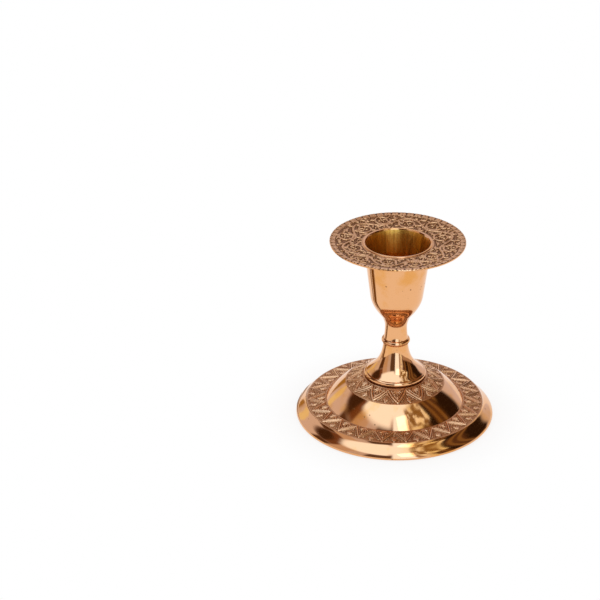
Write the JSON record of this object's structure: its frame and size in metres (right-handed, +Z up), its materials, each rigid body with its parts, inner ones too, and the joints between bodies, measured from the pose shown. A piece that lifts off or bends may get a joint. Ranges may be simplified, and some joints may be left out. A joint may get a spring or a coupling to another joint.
{
  "type": "candle stand",
  "caption": "Low round candle stand with a stepped, banded foot, a trumpet stem with a bead, a tapered candle cup and a wide engraved drip pan.",
  "frame": {"origin": "centre of the foot's resting ring, on the table", "axes": "+Z up along the stand's axis of turning; the stand is alike on all sides"},
  "size_m": [0.0796, 0.0796, 0.0766],
  "materials": {
    "polished_brass": "hand-polished, warm and slightly worn",
    "foot_brass": "polished, with darkened engraved bands",
    "engraved_brass": "engraved relief with brown patina in its ground",
    "zinc_steel": "dull zinc plating"
  },
  "bodies": {
    "root": {"foot": "foot_brass", "stem": "polished_brass", "candle_cup": "polished_brass", "drip_pan": "engraved_brass", "tie_rod": "zinc_steel", "washer": "zinc_steel", "nut": "zinc_steel"}
  },
  "joints": []
}
